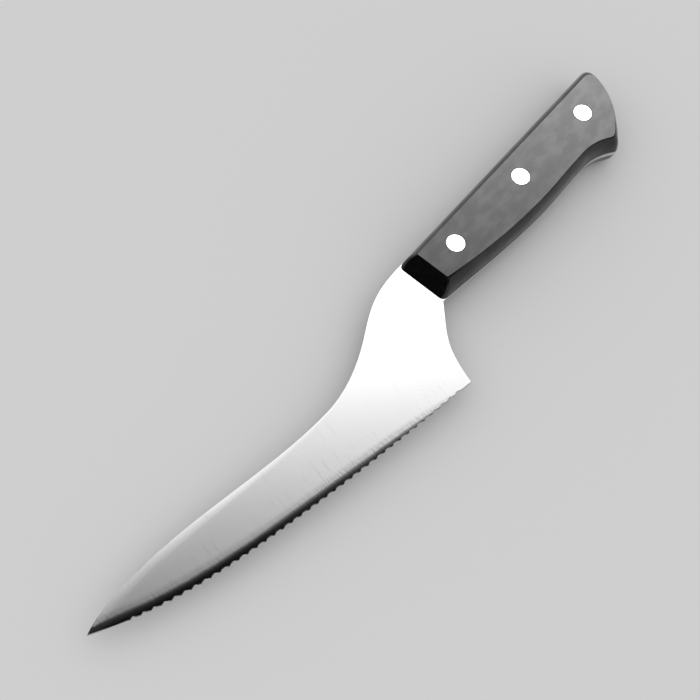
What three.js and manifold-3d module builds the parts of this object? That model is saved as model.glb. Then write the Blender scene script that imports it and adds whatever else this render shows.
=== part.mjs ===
// Offset bread knife: one stamped and ground steel blade with a full tang, two
// handle scales and three two-piece rivets. Millimetres, +Z up. The knife lies on
// its right-hand scale. The tip points to -X, the butt to +X and the spine to +Y.

import * as THREE from 'three';
import { mergeVertices } from 'three/addons/utils/BufferGeometryUtils.js';
import Module from 'manifold-3d';

const wasm = await Module();
wasm.setup();

// Plan sizes are measured from the front of the handle (x = 0) and from the line
// of the rivets (y = 0). Angles are in degrees.

// Steel
const STEEL_THICKNESS = 2.0;

// Blade outline
const TIP_REACH = 168.5;
const TIP_DROP = 1.64;
const TIP_EDGE_ANGLE = 30.1;
const TIP_SPINE_ANGLE = 20;
const EDGE_MIDDLE_REACH = 85.7;
const EDGE_MIDDLE_DROP = 26;
const EDGE_MIDDLE_ANGLE = 9.95;
const HEEL_REACH = 17.2;
const HEEL_DROP = 35.9;
const HEEL_EDGE_ANGLE = 7.35;
const CHOIL_HEEL_ANGLE = 72.5;
const CHOIL_NECK_ANGLE = 44;
const CHOIL_FULLNESS = 0.5;
const NECK_REACH = 28.3;
const NECK_HEIGHT = 1.95;
const NECK_ANGLE = 28.8;
const NECK_FULLNESS = 0.42;
const HOLLOW_REACH = 59.7;
const HOLLOW_DROP = 7.3;
const CREST_REACH = 143.6;
const CREST_HEIGHT = 1;

// Both faces roll off towards the spine, more so in the front half of the blade
const ROLL_ANGLE = 2.2;
const ROLL_WIDTH = 3.6;
const ROLL_HANDLE_WIDTH = 0.8;
const ROLL_START = 50;
const ROLL_GROWTH = 80;

// Ground edge: on the left face a grind that rounds over its shoulder to its full
// angle, where it is wide enough, and flutes on the right face
const GRIND_ANGLE = 15;
const GRIND_SHOULDER = 2.6;
const GRIND_HEEL_WIDTH = 0.4;
const GRIND_FULL_WIDTH = 3.8;
const GRIND_START = 11;
const GRIND_GROWTH = 32;
const GRIND_TIP_WIDTH = 3.0;
const GRIND_TIP_FADE = 16;
const EDGE_BEVEL_ANGLE = 35;
const EDGE_BEVEL_WIDTH = 0.5;
const FLUTE_ANGLE = 20;
const SERRATION_PITCH = 3.63;
const SERRATION_DEPTH = 0.55;
const SERRATION_LEAN = 0.64;
const HEEL_PLAIN_EDGE = 3;
const TIP_PLAIN_EDGE = 14;

// Handle outline, shared by the tang and by the inner face of each scale
const HANDLE_LENGTH = 112;
const SPINE_FRONT_HEIGHT = 9.72;
const SPINE_BUTT_HEIGHT = 11.88;
const FRONT_DEPTH = 9.5;
const FRONT_SLANT = 2;
const UNDERSIDE_ANGLE = 5.5;
const BELLY_BACK = 58.5;
const BELLY_DEPTH = 13.5;
const WAIST_BACK = 32.5;
const WAIST_DEPTH = 12.65;
const TOE_BACK = 18.9;
const TOE_DEPTH = 17.67;
const TOE_ANGLE = 33;
const TOE_CORNER = 1.8;
const BUTT_CROWN = 3;
const BUTT_CORNER = 4;
const FRONT_CORNER = 2.2;

// Scale section: how far the flat outer face is drawn in on each side. A share of that
// is an even lean of the walls, and the rest is a power of their height.
const SCALE_THICKNESS = 7;
const WALL_LEAN = 0.35;
const ROUND_POWER = 3;
const SPINE_ROUND = 2.85;
const BELLY_ROUND = 2.45;
const FRONT_LOW_ROUND = 4.25;
const FACE_UNDERSIDE_ANGLE = 11;
const BUTT_ROUND = 3.2;
const TOE_ROUND = 3.2;
const TOE_BACK_ROUND = 0.6;
const FRONT_BEVEL = 4.6;
const FACE_FRONT_CORNER = 0.6;

// Rivets
const RIVET_COUNT = 3;
const FIRST_RIVET = 17.2;
const RIVET_PITCH = 37.5;
const HEAD_DIAMETER = 6.75;
const HEAD_DEPTH = 2.4;
const TUBE_DIAMETER = 5;
const PIN_DIAMETER = 3.2;
const RIVET_CLEARANCE = 0.1;
const RIVET_END_GAP = 0.3;

// How finely curves are divided
const CURVE_STEPS = 14;
const SPINE_STEPS = 20;
const CORNER_STEPS = 5;
const ROUND_STEPS = 8;
const RIVET_SIDES = 32;
const GRIND_STATIONS = 60;
const STEPS_PER_SERRATION = 8;
const SHOULDER_FACETS = 5;

// Stock that a cut takes away past the surface that it leaves
const CUT_OVERRUN = 1;

const FACE = STEEL_THICKNESS / 2;
const HALF_HEIGHT = FACE + SCALE_THICKNESS;
const slope = (degrees) => Math.tan(THREE.MathUtils.degToRad(degrees));
const point = (x, y) => new THREE.Vector2(x, y);

function polar(length, degrees) {
  const angle = THREE.MathUtils.degToRad(degrees);
  return point(length * Math.cos(angle), length * Math.sin(angle));
}

// A cubic from a to b that leaves and arrives at the given headings.
function bend(a, leaving, b, arriving, reach = 1 / 3) {
  const handle = a.distanceTo(b) * reach;
  const first = a.clone().add(polar(handle, leaving));
  const second = b.clone().sub(polar(handle, arriving));
  return new THREE.CubicBezierCurve(a, first, second, b);
}

function corner(before, tip, after) {
  return new THREE.QuadraticBezierCurve(before, tip, after);
}

// The points of curves that follow each other, without the shared ends.
function trace(curves) {
  return curves.flatMap(([curve, steps]) => curve.getSpacedPoints(steps).slice(0, -1));
}

// The solid between sections that follow each other. A section is a flat polygon
// and the function that places its points in space.
function loft(sections) {
  const count = sections[0].flat.length;
  const positions = sections.flatMap(({ flat, place }) => flat.map(place));
  const faces = [];
  for (let row = 0; row < sections.length - 1; row += 1) {
    for (let k = 0; k < count; k += 1) {
      const a = row * count + k;
      const b = row * count + ((k + 1) % count);
      faces.push([a, b, b + count], [a, b + count, a + count]);
    }
  }
  const last = (sections.length - 1) * count;
  for (const [i, j, k] of THREE.ShapeUtils.triangulateShape(sections[0].flat, [])) {
    faces.push([k, j, i]);
  }
  for (const [i, j, k] of THREE.ShapeUtils.triangulateShape(sections.at(-1).flat, [])) {
    faces.push([last + i, last + j, last + k]);
  }
  const geometry = new THREE.BufferGeometry().setFromPoints(positions);
  geometry.setIndex(faces.flat());
  return geometry;
}

function solidOf(geometry) {
  const bare = geometry.clone();
  bare.deleteAttribute('normal');
  bare.deleteAttribute('uv');
  const welded = mergeVertices(bare);
  return new wasm.Manifold(
    new wasm.Mesh({
      numProp: 3,
      vertProperties: new Float32Array(welded.attributes.position.array),
      triVerts: new Uint32Array(welded.index.array),
    }),
  );
}

function geometryOf(solid) {
  const mesh = solid.getMesh();
  const geometry = new THREE.BufferGeometry();
  geometry.setAttribute('position', new THREE.BufferAttribute(mesh.vertProperties, 3));
  geometry.setIndex(new THREE.BufferAttribute(mesh.triVerts, 1));
  geometry.computeVertexNormals();
  return geometry;
}

// A turned solid about an upright axis, from its half profile of (radius, z).
function turned(profile) {
  const points = profile.map(([radius, z]) => point(radius, z));
  return new THREE.LatheGeometry(points, RIVET_SIDES).rotateX(Math.PI / 2);
}

// Handle outline drawn in by the inset of each side, from the underside of its
// front round the toe and the butt to the spine side of its front.
function handleCurves(inset) {
  const spineSlope = (SPINE_BUTT_HEIGHT - SPINE_FRONT_HEIGHT) / HANDLE_LENGTH;
  const spineAngle = THREE.MathUtils.radToDeg(Math.atan(spineSlope));
  const spineAt = (x) => point(x, SPINE_FRONT_HEIGHT + spineSlope * x - inset.spine);
  const butt = HANDLE_LENGTH - inset.butt;
  const frontAt = (y) => point(inset.front - slope(FRONT_SLANT) * y, y);
  const frontRise = slope(inset.undersideAngle) * inset.front;
  const frontLow = frontAt(inset.frontLow - FRONT_DEPTH - frontRise);
  const belly = point(HANDLE_LENGTH - BELLY_BACK, inset.belly - BELLY_DEPTH);
  const waist = point(HANDLE_LENGTH - WAIST_BACK, inset.belly - WAIST_DEPTH);
  const toe = point(HANDLE_LENGTH - TOE_BACK - inset.toeBack, inset.toe - TOE_DEPTH);
  const buttTop = spineAt(butt);
  const frontTop = frontAt(SPINE_FRONT_HEIGHT + spineSlope * inset.front - inset.spine);

  const start = frontLow.clone().add(polar(inset.corner, -inset.undersideAngle));
  const toeStart = toe.clone().sub(polar(TOE_CORNER, -TOE_ANGLE));
  const chord = buttTop.clone().sub(toe);
  const outward = point(chord.y, -chord.x).setLength(2 * BUTT_CROWN);
  const crown = toe.clone().lerp(buttTop, 0.5).add(outward);
  const toeEnd = crown.clone().sub(toe).setLength(TOE_CORNER).add(toe);
  const buttEnd = crown.clone().sub(buttTop).setLength(BUTT_CORNER).add(buttTop);
  const spineStart = buttTop.clone().sub(polar(BUTT_CORNER, spineAngle));
  const spineEnd = frontTop.clone().add(polar(inset.corner, spineAngle));
  const back = [
    [bend(start, -inset.undersideAngle, belly, 0), CURVE_STEPS],
    [bend(belly, 0, waist, 0), CURVE_STEPS],
    [bend(waist, 0, toeStart, -TOE_ANGLE), CURVE_STEPS],
    [corner(toeStart, toe, toeEnd), CORNER_STEPS],
    [new THREE.QuadraticBezierCurve(toeEnd, crown, buttEnd), CURVE_STEPS],
    [corner(buttEnd, buttTop, spineStart), CORNER_STEPS],
    [new THREE.LineCurve(spineStart, spineEnd), 1],
  ];
  const topOfFront = frontAt(frontTop.y - inset.corner);
  const lowOfFront = frontAt(frontLow.y + inset.corner);
  const front = [
    [corner(spineEnd, frontTop, topOfFront), CORNER_STEPS],
    [new THREE.LineCurve(topOfFront, lowOfFront), 1],
    [corner(lowOfFront, frontLow, start), CORNER_STEPS],
  ];
  return { back, front, frontLow, frontTop, spineAngle };
}

const NO_INSET = {
  front: 0,
  frontLow: 0,
  belly: 0,
  toe: 0,
  toeBack: 0,
  butt: 0,
  spine: 0,
  corner: 0,
  undersideAngle: UNDERSIDE_ANGLE,
};

// Blade: the stamped blank
const tang = handleCurves(NO_INSET);
const tip = point(-TIP_REACH, -TIP_DROP);
const edgeMiddle = point(-EDGE_MIDDLE_REACH, -EDGE_MIDDLE_DROP);
const heel = point(-HEEL_REACH, -HEEL_DROP);
const neck = point(-NECK_REACH, NECK_HEIGHT);
const hollow = point(-HOLLOW_REACH, -HOLLOW_DROP);
const crest = point(-CREST_REACH, CREST_HEIGHT);

const edgeLine = new THREE.CurvePath();
edgeLine.add(bend(tip, -TIP_EDGE_ANGLE, edgeMiddle, -EDGE_MIDDLE_ANGLE));
edgeLine.add(bend(edgeMiddle, -EDGE_MIDDLE_ANGLE, heel, -HEEL_EDGE_ANGLE));

const spineLine = new THREE.CurvePath();
spineLine.add(bend(tang.frontTop, 180 + tang.spineAngle, neck, 180 + NECK_ANGLE, NECK_FULLNESS));
spineLine.add(bend(neck, 180 + NECK_ANGLE, hollow, 180));
spineLine.add(bend(hollow, 180, crest, 180));
spineLine.add(bend(crest, 180, tip, 180 + TIP_SPINE_ANGLE));

// A place on a line that is run on straight past both of its ends: the distance is
// from the start, and inward points to the left of the way along it.
function stationOn(line, distance) {
  const ends = line.getCurveLengths();
  const kept = THREE.MathUtils.clamp(distance, 0, ends.at(-1));
  const k = ends.findIndex((end) => kept <= end);
  const curve = line.curves[k];
  const share = THREE.MathUtils.clamp(1 - (ends[k] - kept) / curve.getLength(), 0, 1);
  const along = curve.getTangentAt(share);
  const origin = curve.getPointAt(share).addScaledVector(along, distance - kept);
  return { origin, inward: point(-along.y, along.x) };
}

// A cutter whose section, in (distance inward, z), changes along a line.
function sweep(line, distances, sectionAt) {
  const sections = distances.map((distance) => {
    const { origin, inward } = stationOn(line, distance);
    const place = ({ x, y }) =>
      new THREE.Vector3(origin.x + inward.x * x, origin.y + inward.y * x, y);
    return { flat: sectionAt(distance), place };
  });
  return solidOf(loft(sections));
}

function evenly(from, to, steps) {
  return Array.from({ length: steps + 1 }, (_, k) => from + ((to - from) * k) / steps);
}

// A surface that falls away from a face, starting at a distance in from the outline. It
// rounds over its shoulder until it has its full slope, then it runs straight.
function fallOff(width, shoulder, degrees) {
  const rounded = Math.min(width, shoulder);
  const bevel = width - rounded;
  const steepest = (slope(degrees) * rounded) / shoulder;
  const depth = steepest * (bevel + rounded / 2);
  return { bevel, rounded, steepest, depth };
}

// The height of such a surface on the left face.
function surfaceHeight({ bevel, rounded, steepest, depth }, inward) {
  if (inward <= bevel) return FACE - depth + steepest * inward;
  const unrounded = Math.max(bevel + rounded - inward, 0);
  return FACE - (steepest * unrounded ** 2) / (2 * rounded);
}

// The section of the cut that leaves such a surface on the left face.
function faceCut({ bevel, rounded, steepest, depth }) {
  const ceiling = FACE + CUT_OVERRUN;
  const outside = point(-CUT_OVERRUN, FACE - depth - steepest * CUT_OVERRUN);
  const curve = evenly(0, 1, SHOULDER_FACETS).map((share) =>
    point(bevel + share * rounded, FACE - (steepest * rounded * (1 - share) ** 2) / 2),
  );
  const [before, top] = curve.slice(-2);
  curve[SHOULDER_FACETS] = top.clone().lerp(before, -1);
  const inside = point(curve[SHOULDER_FACETS].x, ceiling);
  return [outside, ...curve, inside, point(-CUT_OVERRUN, ceiling)];
}

const edgeLength = edgeLine.getLength();
const edgeRun = [-CUT_OVERRUN, edgeLength + CUT_OVERRUN];
const edgeStock = point(0, -CUT_OVERRUN);
const stockEdge = trace([[edgeLine, GRIND_STATIONS]]).map((place) => place.add(edgeStock));
const choil = bend(heel, CHOIL_HEEL_ANGLE, tang.frontLow, CHOIL_NECK_ANGLE, CHOIL_FULLNESS);
const blankOutline = [
  ...stockEdge.slice(1),
  heel.clone().add(edgeStock),
  ...trace([[choil, CURVE_STEPS], ...tang.back]),
  ...spineLine.curves.flatMap((curve) => trace([[curve, SPINE_STEPS]])),
  tip,
];
const blank = solidOf(
  new THREE.ExtrudeGeometry(new THREE.Shape(blankOutline), {
    depth: STEEL_THICKNESS,
    bevelEnabled: false,
  }).translate(0, 0, -FACE),
);

// Left face: a ground bevel that starts a little way from the heel, widens ever more
// slowly and fades at the tip.
function grindWidth(distance) {
  const fromStart = Math.max(edgeLength - GRIND_START - distance, 0);
  const grown = 1 - Math.exp(-fromStart / GRIND_GROWTH);
  const fading = THREE.MathUtils.smoothstep(distance, 0, GRIND_TIP_FADE);
  const full = THREE.MathUtils.lerp(GRIND_HEEL_WIDTH, GRIND_FULL_WIDTH, grown);
  return THREE.MathUtils.lerp(GRIND_TIP_WIDTH, full, fading);
}

const grindAt = (distance) => fallOff(grindWidth(distance), GRIND_SHOULDER, GRIND_ANGLE);

// Right face: flutes, ground at an angle by a wheel with a waved rim. Each wave
// draws the edge in gently on its way to the tip and steps out again.
const serrationCount = Math.floor(
  (edgeLength - HEEL_PLAIN_EDGE - TIP_PLAIN_EDGE) / SERRATION_PITCH,
);
const serrationStart = TIP_PLAIN_EDGE;
const serrationEnd = TIP_PLAIN_EDGE + serrationCount * SERRATION_PITCH;

function serrationDepth(distance) {
  if (distance <= serrationStart || distance >= serrationEnd) return 0;
  const phase = 1 - (((distance - serrationStart) / SERRATION_PITCH) % 1);
  const turn =
    phase < SERRATION_LEAN
      ? phase / SERRATION_LEAN
      : 2 - (1 - phase) / (1 - SERRATION_LEAN);
  return (SERRATION_DEPTH * (1 - Math.cos(turn * Math.PI))) / 2;
}

function fluteSection(distance) {
  const fall = slope(FLUTE_ANGLE);
  const { steepest, depth } = grindAt(distance);
  const run = (STEEL_THICKNESS - depth) / fall;
  const wave = (serrationDepth(distance) * (fall + steepest)) / fall;
  const surface = (inward) => -FACE + (run + wave - inward) * fall;
  const inside = run + wave + CUT_OVERRUN;
  const floor = -FACE - CUT_OVERRUN;
  return [
    point(-2 * CUT_OVERRUN, floor),
    point(inside, floor),
    point(inside, surface(inside)),
    point(-2 * CUT_OVERRUN, surface(-2 * CUT_OVERRUN)),
  ];
}

// Left face again: a fine bevel along the waves.
function edgeBevelSection(distance) {
  const fall = slope(EDGE_BEVEL_ANGLE);
  const start = serrationDepth(distance) + EDGE_BEVEL_WIDTH;
  const height = surfaceHeight(grindAt(distance), start);
  const surface = (inward) => point(inward, height + (inward - start) * fall);
  const inside = start + CUT_OVERRUN;
  const outside = -2 * CUT_OVERRUN;
  return [surface(outside), surface(inside), point(outside, surface(inside).y)];
}

// Spine: both faces roll off to it, from the handle to the tip.
function rollSection(distance) {
  const grown = THREE.MathUtils.smoothstep(distance, ROLL_START, ROLL_START + ROLL_GROWTH);
  const width = THREE.MathUtils.lerp(ROLL_HANDLE_WIDTH, ROLL_WIDTH, grown);
  return faceCut(fallOff(width, ROLL_WIDTH, ROLL_ANGLE));
}

const mirrored = (section) => section.map(({ x, y }) => point(x, -y)).reverse();

const grindSection = (distance) => faceCut(grindAt(distance));
const grind = sweep(edgeLine, evenly(...edgeRun, GRIND_STATIONS), grindSection);
const serrationSteps = serrationCount * STEPS_PER_SERRATION;
const fluteRun = [
  ...evenly(edgeRun[0], serrationStart, CURVE_STEPS).slice(0, -1),
  ...evenly(serrationStart, serrationEnd, serrationSteps),
  ...evenly(serrationEnd, edgeRun[1], CORNER_STEPS).slice(1),
];
const flutes = sweep(edgeLine, fluteRun, fluteSection);
const edgeBevel = sweep(edgeLine, fluteRun, edgeBevelSection);
const spineLength = spineLine.getLength();
const spineEnds = [0, ...spineLine.getCurveLengths()];
const rollRun = [
  ...spineLine.curves.flatMap((_, k) =>
    evenly(spineEnds[k], spineEnds[k + 1], SPINE_STEPS).slice(0, -1),
  ),
  spineLength,
  spineLength + CUT_OVERRUN,
];
const rolledLeft = sweep(spineLine, rollRun, rollSection);
const rolledRight = sweep(spineLine, rollRun, (distance) => mirrored(rollSection(distance)));

// Rivet holes: the tube passes through the tang, and the heads sit in the scales.
const rivetPlaces = Array.from({ length: RIVET_COUNT }, (_, k) => FIRST_RIVET + k * RIVET_PITCH);
const headRadius = HEAD_DIAMETER / 2;
const tubeRadius = TUBE_DIAMETER / 2;
const pinRadius = PIN_DIAMETER / 2;

const holeCutter = turned([
  [0, -HALF_HEIGHT - CUT_OVERRUN],
  [headRadius + RIVET_CLEARANCE, -HALF_HEIGHT - CUT_OVERRUN],
  [headRadius + RIVET_CLEARANCE, HEAD_DEPTH - HALF_HEIGHT],
  [tubeRadius + RIVET_CLEARANCE, HEAD_DEPTH - HALF_HEIGHT],
  [tubeRadius + RIVET_CLEARANCE, HALF_HEIGHT - HEAD_DEPTH],
  [headRadius + RIVET_CLEARANCE, HALF_HEIGHT - HEAD_DEPTH],
  [headRadius + RIVET_CLEARANCE, HALF_HEIGHT + CUT_OVERRUN],
  [0, HALF_HEIGHT + CUT_OVERRUN],
]);
const holes = rivetPlaces.map((x) => solidOf(holeCutter.clone().translate(x, 0, 0)));
const drilled = (solid) => holes.reduce((left, hole) => left.subtract(hole), solid);

const blade = drilled(
  [grind, flutes, edgeBevel, rolledLeft, rolledRight].reduce(
    (left, cutter) => left.subtract(cutter),
    blank,
  ),
);

// Scale: an inner face like the tang, walls that round over to a flat outer face,
// and a flat bevel across the front. Side is 1 for the left scale, -1 for the right.
// The sections are at heights where the slope of the walls has changed by equal steps.
function scale(side) {
  const sections = evenly(0, 1, ROUND_STEPS).map((sloped) => {
    const risen = sloped ** (1 / (ROUND_POWER - 1));
    const rounded = THREE.MathUtils.lerp(risen ** ROUND_POWER, risen, WALL_LEAN);
    const z = side * (FACE + SCALE_THICKNESS * risen);
    const { back, front } = handleCurves({
      front: FRONT_BEVEL * risen,
      frontLow: FRONT_LOW_ROUND * rounded,
      belly: BELLY_ROUND * rounded,
      toe: TOE_ROUND * rounded,
      toeBack: TOE_BACK_ROUND * rounded,
      butt: BUTT_ROUND * rounded,
      spine: SPINE_ROUND * rounded,
      corner: THREE.MathUtils.lerp(FRONT_CORNER, FACE_FRONT_CORNER, risen),
      undersideAngle: THREE.MathUtils.lerp(UNDERSIDE_ANGLE, FACE_UNDERSIDE_ANGLE, rounded),
    });
    return { flat: trace([...back, ...front]), place: ({ x, y }) => new THREE.Vector3(x, y, z) };
  });
  return drilled(solidOf(loft(side > 0 ? sections : sections.reverse())));
}

// Rivet halves: a tube with a blind bore from the left, a pin from the right.
const boreEnd = HALF_HEIGHT - HEAD_DEPTH;
const rivetTube = turned([
  [0, boreEnd],
  [pinRadius + RIVET_CLEARANCE, boreEnd],
  [pinRadius + RIVET_CLEARANCE, HEAD_DEPTH + RIVET_END_GAP - HALF_HEIGHT],
  [tubeRadius, HEAD_DEPTH + RIVET_END_GAP - HALF_HEIGHT],
  [tubeRadius, HALF_HEIGHT - HEAD_DEPTH],
  [headRadius, HALF_HEIGHT - HEAD_DEPTH],
  [headRadius, HALF_HEIGHT],
  [0, HALF_HEIGHT],
]);
const rivetPin = turned([
  [0, -HALF_HEIGHT],
  [headRadius, -HALF_HEIGHT],
  [headRadius, HEAD_DEPTH - HALF_HEIGHT],
  [pinRadius, HEAD_DEPTH - HALF_HEIGHT],
  [pinRadius, boreEnd - RIVET_END_GAP],
  [0, boreEnd - RIVET_END_GAP],
]);

// Finishes
const satinSteel = { color: 0xc4c6c8, roughness: 0.32, metalness: 1 };
const polishedSteel = { color: 0xe2e3e4, roughness: 0.18, metalness: 1 };
const blackLaminate = { color: 0x17171a, roughness: 0.38, metalness: 0 };

function piece(name, geometry, finish) {
  const mesh = new THREE.Mesh(geometry, new THREE.MeshStandardMaterial(finish));
  mesh.name = name;
  return mesh;
}

const knife = new THREE.Group();
knife.add(piece('blade', geometryOf(blade), satinSteel));
knife.add(piece('left_scale', geometryOf(scale(1)), blackLaminate));
knife.add(piece('right_scale', geometryOf(scale(-1)), blackLaminate));
rivetPlaces.forEach((x, k) => {
  const tube = rivetTube.clone().translate(x, 0, 0);
  const pin = rivetPin.clone().translate(x, 0, 0);
  knife.add(piece(`rivet_tube_${k + 1}`, tube, polishedSteel));
  knife.add(piece(`rivet_pin_${k + 1}`, pin, polishedSteel));
});

// The origin is under the middle of the knife, on the surface that it lies on.
const box = new THREE.Box3().setFromObject(knife);
const middle = box.getCenter(new THREE.Vector3());
knife.position.set(-middle.x, -middle.y, -box.min.z);

export default knife;
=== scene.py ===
import math

import bmesh
import bpy
from mathutils import Matrix, Vector


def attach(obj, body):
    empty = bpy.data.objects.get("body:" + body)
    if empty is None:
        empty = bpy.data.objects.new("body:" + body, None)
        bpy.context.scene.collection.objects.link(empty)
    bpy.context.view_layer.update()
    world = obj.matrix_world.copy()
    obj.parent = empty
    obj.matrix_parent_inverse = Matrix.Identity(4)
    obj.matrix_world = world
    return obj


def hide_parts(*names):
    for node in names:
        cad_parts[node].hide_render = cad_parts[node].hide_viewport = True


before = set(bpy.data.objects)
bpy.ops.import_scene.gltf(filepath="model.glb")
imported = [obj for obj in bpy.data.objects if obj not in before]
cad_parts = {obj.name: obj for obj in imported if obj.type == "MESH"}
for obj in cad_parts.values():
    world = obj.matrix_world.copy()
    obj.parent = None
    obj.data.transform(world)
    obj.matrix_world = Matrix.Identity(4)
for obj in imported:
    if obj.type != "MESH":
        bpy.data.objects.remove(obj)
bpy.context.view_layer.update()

# Blade
# One sheet of stainless steel with its full tang, stamped to the offset outline, ground to a
# wavy edge and satin finished with fine lines that run across the blade.
MM = 0.001
WELD_DISTANCE = 0.001 * MM
FLAT_ANGLE = math.radians(0.05)
BLADE_SMOOTH = math.radians(18)
ARRIS_TURN = (math.radians(55), math.radians(110))
BLADE_ARRIS = 0.15 * MM
EDGE_TURN = (math.radians(110), math.radians(175))
EDGE_ROUND = 0.03 * MM
ROUND_SEGMENTS = 2
STEEL_TONE = (0.60, 0.601, 0.602, 1)
STEEL_DULL_TONE = (0.535, 0.536, 0.537, 1)
DULL_RANGE = (0.1, 0.8)
STEEL_ROUGHNESS = 0.13
FINE_DETAIL = 3.0
NO_DETAIL = 0.0
LINE_TURN = math.radians(11)
LINE_SPACING = (0.32 * MM, 9 * MM, 9 * MM)
LINE_DULLING = 0.1
LINE_ROUGHNESS = 0.01
CLOUD_SPACING = (16 * MM, 16 * MM, 16 * MM)
CLOUD_DULLING = 0.35
SCRATCH_SPACING = (0.6 * MM, 11 * MM, 11 * MM)
SCRATCH_RANGE = (0.71, 0.77)
SCRATCH_DULLING = 0.35
SCRATCH_ROUGHNESS = 0.005
# Where the flat face meets the ground bevel: y as a cubic of x, highest power first. The face rolls
# into the bevel there, and the belt that ground it left streaks of different lengths.
BORDER_CURVE = (-12.63, -1.853, -0.2687, -0.02293)
ROLL_REACH = 2.2 * MM
ROLL_DEPTH = 0.05 * MM
STREAK_SPACING = (0.55 * MM, 5 * MM, 5 * MM)
STREAK_RANGE = (0.35, 0.65)
STREAK_REACH = 0.5 * MM


class Flow:
    """One output socket of a node tree. Sums and products of it add Math nodes."""

    def __init__(self, tree, socket=None):
        self.tree = tree
        self.socket = socket

    def node(self, kind, settings, sockets, output=0):
        made = self.tree.nodes.new(kind)
        for name, value in settings.items():
            setattr(made, name, value)
        for name, value in sockets.items():
            self.feed(value, made.inputs[name])
        return Flow(self.tree, made.outputs[output])

    def feed(self, value, target):
        if isinstance(value, Flow):
            self.tree.links.new(value.socket, target)
        else:
            target.default_value = value

    def math(self, operation, *values):
        return self.node("ShaderNodeMath", {"operation": operation}, dict(enumerate(values)))

    def __add__(self, other):
        return self.math("ADD", self, other)

    def __radd__(self, other):
        return self.math("ADD", other, self)

    def __sub__(self, other):
        return self.math("SUBTRACT", self, other)

    def __rsub__(self, other):
        return self.math("SUBTRACT", other, self)

    def __mul__(self, other):
        return self.math("MULTIPLY", self, other)

    def __rmul__(self, other):
        return self.math("MULTIPLY", other, self)

    def step(self, low, high):
        """0 below low, 1 above high and a smooth rise between."""
        return self.node(
            "ShaderNodeMapRange",
            {"interpolation_type": "SMOOTHSTEP"},
            {"Value": self, "From Min": low, "From Max": high},
        )

    def band(self, low_start, low_end, high_start, high_end):
        """1 between low_end and high_start, fading to 0 at low_start and at high_end."""
        return self.step(low_start, low_end) * (1.0 - self.step(high_start, high_end))

    def noise(self, spacing, turn=0.0, detail=FINE_DETAIL):
        """Noise from 0 to 1, whose marks are about spacing metres apart on each axis."""
        turned = self.node(
            "ShaderNodeMapping", {}, {"Vector": self, "Rotation": (0.0, 0.0, turn)}
        )
        scaled = self.node(
            "ShaderNodeMapping", {}, {"Vector": turned, "Scale": tuple(1 / size for size in spacing)}
        )
        sockets = {"Vector": scaled, "Scale": 1.0, "Detail": detail}
        return self.node("ShaderNodeTexNoise", {}, sockets)

    def mix(self, first, second):
        """A colour from first, where this value is 0, to second, where it is 1."""
        # The node has sockets for other kinds of value too: 6 and 7 take colours, output 2 gives one.
        sockets = {"Factor": self, 6: first, 7: second}
        return self.node("ShaderNodeMix", {"data_type": "RGBA"}, sockets, 2)

    def bump(self):
        """A normal from this height in metres."""
        return self.node("ShaderNodeBump", {}, {"Height": self, "Distance": 1.0})


def new_finish(name, constants):
    """A material, its shader with these constants, and the start of its node maths."""
    finish = bpy.data.materials.new(name)
    finish.use_nodes = True
    shader = finish.node_tree.nodes["Principled BSDF"]
    for socket, value in constants.items():
        shader.inputs[socket].default_value = value
    return finish, shader, Flow(finish.node_tree)


def welded(node):
    """A copy of a solid with its loose triangles joined and its flat faces made whole."""
    shape = bmesh.new()
    shape.from_mesh(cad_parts[node].data)
    bmesh.ops.remove_doubles(shape, verts=shape.verts, dist=WELD_DISTANCE)
    bmesh.ops.dissolve_limit(
        shape, angle_limit=FLAT_ANGLE, verts=shape.verts, edges=shape.edges
    )
    return shape


def ease(shape, turn, width):
    """Rounds the edges where the surface turns by an angle between the two of turn."""
    edges = [edge for edge in shape.edges if turn[0] < edge.calc_face_angle(0) < turn[1]]
    bmesh.ops.bevel(
        shape,
        geom=edges,
        offset=width,
        offset_type="OFFSET",
        affect="EDGES",
        segments=ROUND_SEGMENTS,
        profile=0.5,
        material=-1,
        clamp_overlap=True,
    )


def set_piece(shape, name, finish, node, smooth):
    """Makes the piece that stands for a solid, smooth where it turns by less than an angle."""
    mesh = bpy.data.meshes.new(name)
    shape.to_mesh(mesh)
    shape.free()
    for attribute in ("custom_normal", "UVMap"):
        if attribute in mesh.attributes:
            mesh.attributes.remove(mesh.attributes[attribute])
    mesh.materials.clear()
    mesh.materials.append(finish)
    mesh.shade_smooth()
    mesh.set_sharp_from_angle(angle=smooth)
    piece = bpy.data.objects.new(name, mesh)
    bpy.context.scene.collection.objects.link(piece)
    even = piece.modifiers.new("Even shading", "WEIGHTED_NORMAL")
    even.keep_sharp = True
    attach(piece, "root")
    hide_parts(node)


steel, shader, start = new_finish("satin_blade_steel", {"Metallic": 1.0})
place = start.node("ShaderNodeTexCoord", {}, {}, "Object")
along = start.node("ShaderNodeSeparateXYZ", {}, {"Vector": place}, "X")
across = start.node("ShaderNodeSeparateXYZ", {}, {"Vector": place}, "Y")
border = BORDER_CURVE[0]
for term in BORDER_CURVE[1:]:
    border = border * along + term
streaks = place.noise(STREAK_SPACING, LINE_TURN).step(*STREAK_RANGE)
roll = (across - border - STREAK_REACH * streaks).step(-ROLL_REACH, ROLL_REACH)
lines = place.noise(LINE_SPACING, LINE_TURN)
cloud = place.noise(CLOUD_SPACING)
scratch = place.noise(SCRATCH_SPACING, LINE_TURN, NO_DETAIL).step(*SCRATCH_RANGE)
dull = LINE_DULLING * lines + CLOUD_DULLING * cloud + SCRATCH_DULLING * scratch
tone = dull.step(*DULL_RANGE).mix(STEEL_TONE, STEEL_DULL_TONE)
start.feed(tone, shader.inputs["Base Color"])
roughness = STEEL_ROUGHNESS + LINE_ROUGHNESS * (lines + cloud) + SCRATCH_ROUGHNESS * scratch
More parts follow.
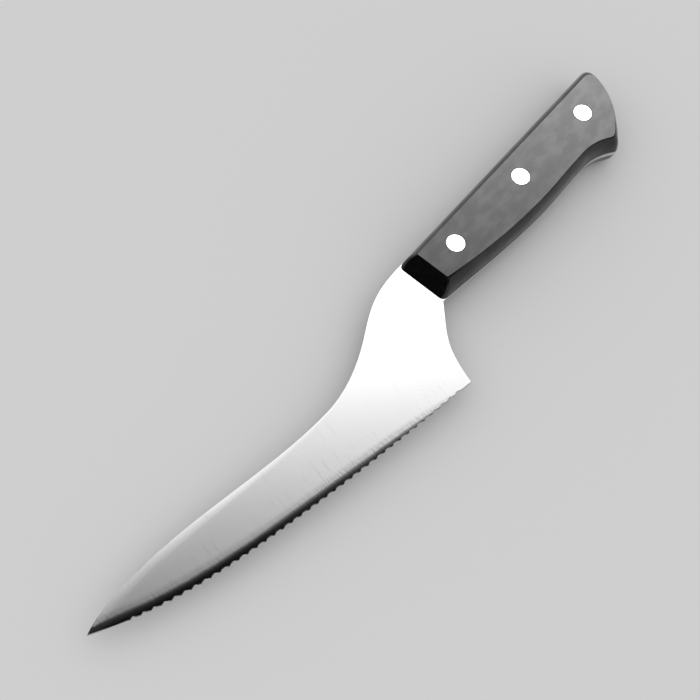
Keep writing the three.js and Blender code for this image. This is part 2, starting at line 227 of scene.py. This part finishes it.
start.feed(roughness, shader.inputs["Roughness"])
start.feed((ROLL_DEPTH * roll).bump(), shader.inputs["Normal"])

blade_shape = welded("blade")
ease(blade_shape, ARRIS_TURN, BLADE_ARRIS)
ease(blade_shape, EDGE_TURN, EDGE_ROUND)
set_piece(blade_shape, "satin_blade", steel, "blade", BLADE_SMOOTH)

# Handle scales
# Two slabs of black resin-bonded laminate, shaped round to fit the hand, bevelled at the front
# and riveted to the tang on each side.
RIM_TURN = (math.radians(32), math.radians(110))
SCALE_RIM = 0.1 * MM
ROUND_SMOOTH = math.radians(50)
LAMINATE_TONE = (0.0022, 0.0022, 0.0024, 1)
LAMINATE_GRAIN_TONE = (0.006, 0.006, 0.0064, 1)
LAMINATE_FINISH = {"Metallic": 0.0, "IOR": 1.48, "Coat Roughness": 0.1}
LAMINATE_ROUGHNESS = 0.075
GRAIN_SPACING = (18 * MM, 0.8 * MM, 0.8 * MM)
GRAIN_RANGE = (0.4, 0.75)
GRAIN_ROUGHNESS = 0.03
GRAIN_HEIGHT = 0.0012 * MM
MOTTLE_SPACING = (7 * MM, 4 * MM, 4 * MM)
MOTTLE_ROUGHNESS = 0.08
GLOSS_RANGE = (0.4, 0.65)
GLOSS_WEIGHT = 0.2

laminate, shader, start = new_finish("black_laminate", LAMINATE_FINISH)
place = start.node("ShaderNodeTexCoord", {}, {}, "Object")
grain = place.noise(GRAIN_SPACING)
mottle = place.noise(MOTTLE_SPACING)
tone = grain.step(*GRAIN_RANGE).mix(LAMINATE_TONE, LAMINATE_GRAIN_TONE)
start.feed(tone, shader.inputs["Base Color"])
roughness = LAMINATE_ROUGHNESS + MOTTLE_ROUGHNESS * mottle + GRAIN_ROUGHNESS * grain
start.feed(roughness, shader.inputs["Roughness"])
start.feed((GRAIN_HEIGHT * grain).bump(), shader.inputs["Normal"])
start.feed(GLOSS_WEIGHT * mottle.step(*GLOSS_RANGE), shader.inputs["Coat Weight"])

for side in ("left", "right"):
    scale_shape = welded(f"{side}_scale")
    ease(scale_shape, RIM_TURN, SCALE_RIM)
    name = f"{side}_handle_scale"
    set_piece(scale_shape, name, laminate, f"{side}_scale", ROUND_SMOOTH)

# Rivets
# Three two-piece steel rivets, a tube pressed in from the left and a pin from the right, with
# their heads ground flush with the scales and polished.
RIVET_ARRIS = 0.1 * MM
RIVET_TONE = (0.78, 0.782, 0.785, 1)
RIVET_SCUFF_TONE = (0.68, 0.682, 0.685, 1)
RIVET_ROUGHNESS = 0.14
SCUFF_SPACING = (0.25 * MM, 3 * MM, 3 * MM)
SCUFF_RANGE = (0.45, 0.8)
SCUFF_ROUGHNESS = 0.08
SCUFF_HEIGHT = 0.0006 * MM

polished, shader, start = new_finish("polished_rivet_steel", {"Metallic": 1.0})
place = start.node("ShaderNodeTexCoord", {}, {}, "Object")
scuffs = place.noise(SCUFF_SPACING)
tone = scuffs.step(*SCUFF_RANGE).mix(RIVET_TONE, RIVET_SCUFF_TONE)
start.feed(tone, shader.inputs["Base Color"])
start.feed(RIVET_ROUGHNESS + SCUFF_ROUGHNESS * scuffs, shader.inputs["Roughness"])
start.feed((SCUFF_HEIGHT * scuffs).bump(), shader.inputs["Normal"])

for number in (1, 2, 3):
    for half in ("tube", "pin"):
        node = f"rivet_{half}_{number}"
        rivet_shape = welded(node)
        ease(rivet_shape, ARRIS_TURN, RIVET_ARRIS)
        name = f"polished_{half}_{number}"
        set_piece(rivet_shape, name, polished, node, ROUND_SMOOTH)

# Floor
# A plain pale table top, matt, so that it mirrors nothing. The knife lies on it with the flat of its
# right-hand scale, and the blade stays clear of it.
FLOOR_REACH = 4.0
FLOOR_FINISH = {
    "Base Color": (0.70, 0.70, 0.70, 1),
    "Roughness": 0.6,
    "Specular IOR Level": 0.0,
}

table = new_finish("pale_floor", FLOOR_FINISH)[0]
floor_shape = bmesh.new()
bmesh.ops.create_grid(floor_shape, x_segments=1, y_segments=1, size=FLOOR_REACH / 2)
floor_mesh = bpy.data.meshes.new("floor")
floor_shape.to_mesh(floor_mesh)
floor_shape.free()
floor_mesh.materials.append(table)
floor = bpy.data.objects.new("floor", floor_mesh)
bpy.context.scene.collection.objects.link(floor)

# Light
# What the gloss mirrors is one large soft lamp over the butt and the spine, a faint strip for the
# edge, a panel over the tip, low pale walls and a dim room. An even dome lights the matt surfaces.
# A range holds the part of a direction, along, across or up, over which a light fades in or out.
LIGHT_TONE = (1, 1, 1, 1)
LAMP_DIRECTION = Vector((1.747, 1.356, 1.0)).normalized()
LAMP_RADIANCE = 8.7
LAMP_RADIUS = math.radians(32)
LAMP_FADE = math.radians(4.58)
LAMP_HEIGHT = (0.55, 0.75)
STRIP_RADIANCE = 0.65
STRIP_SIDE = (-0.80, -0.70)
STRIP_END = (-0.10, 0.04)
STRIP_HEIGHT = (0.45, 0.51, 0.62, 0.70)
PANEL_RADIANCE = 0.45
PANEL_END = (-0.25, 0.18)
PANEL_HEIGHT = (0.70, 0.95)
WALL_HEIGHT = (0.18, 0.36)
WALL_END = (-0.92, -0.75)
ROOM_RADIANCE = 0.06
ROOM_HEIGHT = (0.15, 0.40, 0.50, 0.85)
BACKDROP_RADIANCE = 0.64
DOME_STRENGTH = 2.8

world = bpy.data.worlds.new("soft_studio")
world.use_nodes = True
bpy.context.scene.world = world
world.cycles_visibility.diffuse = False
background = world.node_tree.nodes["Background"]
background.inputs["Color"].default_value = LIGHT_TONE
start = Flow(world.node_tree)
direction = start.node("ShaderNodeTexCoord", {}, {}, "Generated")
toward = start.node(
    "ShaderNodeVectorMath",
    {"operation": "DOT_PRODUCT"},
    {0: direction, 1: LAMP_DIRECTION},
    "Value",
)
away = start.math("ARCCOSINE", toward) - LAMP_RADIUS
fading = start.math("EXPONENT", start.math("MAXIMUM", away, 0.0) * (-1 / LAMP_FADE))
along = start.node("ShaderNodeSeparateXYZ", {}, {"Vector": direction}, "X")
across = start.node("ShaderNodeSeparateXYZ", {}, {"Vector": direction}, "Y")
height = start.node("ShaderNodeSeparateXYZ", {}, {"Vector": direction}, "Z")
lamp = fading * height.step(*LAMP_HEIGHT)
strip = (1.0 - across.step(*STRIP_SIDE)) * (1.0 - along.step(*STRIP_END))
strip = strip * height.band(*STRIP_HEIGHT)
panel = (1.0 - along.step(*PANEL_END)) * (height + across).step(*PANEL_HEIGHT)
walls = (1.0 - height.step(*WALL_HEIGHT)) * along.step(*WALL_END)
room = height.band(*ROOM_HEIGHT)
radiance = LAMP_RADIANCE * lamp + STRIP_RADIANCE * strip + PANEL_RADIANCE * panel
radiance = radiance + BACKDROP_RADIANCE * walls + ROOM_RADIANCE * room
seen = start.node("ShaderNodeLightPath", {}, {}, "Is Camera Ray")
start.feed(seen * BACKDROP_RADIANCE + (1.0 - seen) * radiance, background.inputs["Strength"])

dome_light = bpy.data.lights.new("dome", "SUN")
dome_light.energy = DOME_STRENGTH
dome_light.angle = math.pi
dome = bpy.data.objects.new("dome", dome_light)
dome.visible_glossy = False
bpy.context.scene.collection.objects.link(dome)

# Camera
# The photograph's view: from high above the edge side and the tip, turned a little. Its place and
# its lens follow from the three round rivet heads.
CAMERA_EYE = Vector((-300.9, -106.58, 606.9)) * MM
CAMERA_AIM = Vector((-6.95, 14.1, 7.0)) * MM
CAMERA_ROLL = math.radians(19.34)
CAMERA_LENS = 104.2
SENSOR_WIDTH = 36.0

lens = bpy.data.cameras.new("camera")
lens.lens = CAMERA_LENS
lens.sensor_width = SENSOR_WIDTH
camera = bpy.data.objects.new("camera", lens)
bpy.context.scene.collection.objects.link(camera)
aim = (CAMERA_AIM - CAMERA_EYE).to_track_quat("-Z", "Y").to_matrix().to_4x4()
camera.matrix_world = Matrix.Translation(CAMERA_EYE) @ aim @ Matrix.Rotation(CAMERA_ROLL, 4, "Z")
bpy.context.scene.camera = camera
bpy.context.scene.view_settings.view_transform = "Standard"
